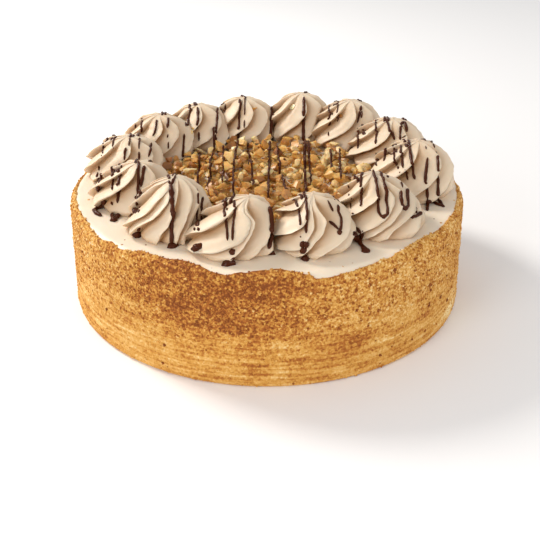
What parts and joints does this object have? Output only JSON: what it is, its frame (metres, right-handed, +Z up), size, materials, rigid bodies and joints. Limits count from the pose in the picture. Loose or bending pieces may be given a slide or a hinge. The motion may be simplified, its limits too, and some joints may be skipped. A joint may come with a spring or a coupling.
{
  "type": "dulce de leche sponge cake",
  "caption": "Round sponge cake with crumb-coated sides, a flat caramel cream top, a ring of piped swirls, a chopped nut centre and fine chocolate lines.",
  "frame": {"origin": "centre of the cake's flat base, on the surface it stands on", "axes": "+Z up along the cake's axis, -Y towards the front of the cake, +X to its right"},
  "size_m": [0.236, 0.236, 0.0929],
  "materials": {
    "crumb_coat": "fine golden cake crumbs pressed into cream, dry and matt",
    "caramel_cream": "whipped caramel cream, smooth with a soft satin sheen",
    "chopped_nuts": "chopped nuts glazed with caramel, amber with paler broken faces",
    "dark_chocolate": "dark chocolate sauce, glossy"
  },
  "bodies": {
    "root": {"cake_body": "crumb_coat", "icing_top": "caramel_cream", "nut_bed": "chopped_nuts", "swirl_01": "caramel_cream", "swirl_02": "caramel_cream", "swirl_03": "caramel_cream", "swirl_04": "caramel_cream", "swirl_05": "caramel_cream", "swirl_06": "caramel_cream", "swirl_07": "caramel_cream", "swirl_08": "caramel_cream", "swirl_09": "caramel_cream", "swirl_10": "caramel_cream", "swirl_11": "caramel_cream", "swirl_12": "caramel_cream", "swirl_13": "caramel_cream"}
  },
  "joints": []
}
